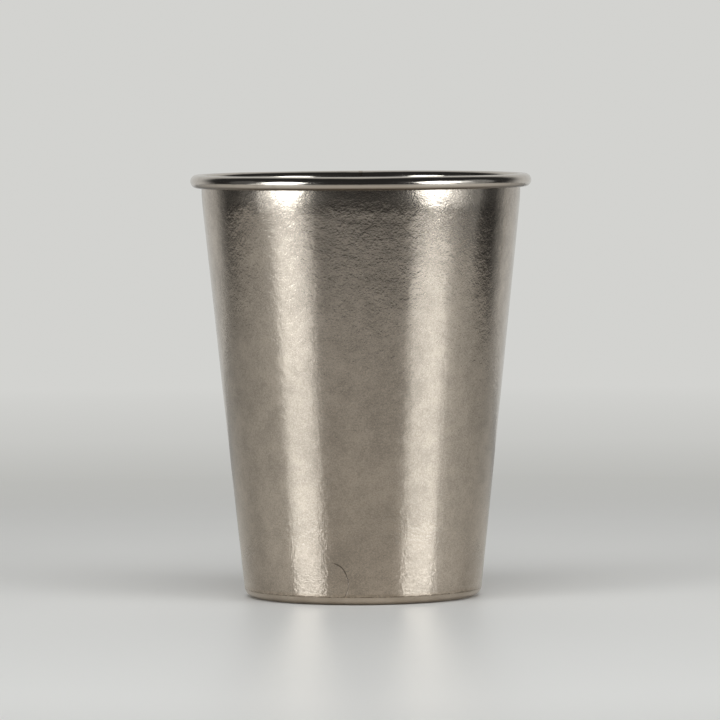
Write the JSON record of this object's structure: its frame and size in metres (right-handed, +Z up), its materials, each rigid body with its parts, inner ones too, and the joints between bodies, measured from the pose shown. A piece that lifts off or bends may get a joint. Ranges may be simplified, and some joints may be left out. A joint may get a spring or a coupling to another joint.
{
  "type": "beer cup",
  "caption": "Tapered titanium beer cup with no handle: a single sheet wall with a short straighter neck, curled outward at the rim and closed below by a welded base pan with a raised panel.",
  "frame": {"origin": "on the cup's axis, in the plane that it stands on", "axes": "+Z up along the axis, -Y towards the viewer of the picture, so that the side weld at +Y is at the back"},
  "size_m": [0.09, 0.09, 0.1116],
  "materials": {
    "wall_titanium": "bare titanium: satin with a fine orange-peel grain outside, polished on the curled rim and inside",
    "base_titanium": "bare titanium: satin, smoother than the wall, with turning marks and rubbed on the standing ring",
    "weld_titanium": "bare titanium weld metal ground flush, a little darker than the sheet"
  },
  "bodies": {
    "root": {"side_wall": "wall_titanium", "side_weld": "weld_titanium", "base_pan": "base_titanium", "base_weld": "weld_titanium"}
  },
  "joints": []
}
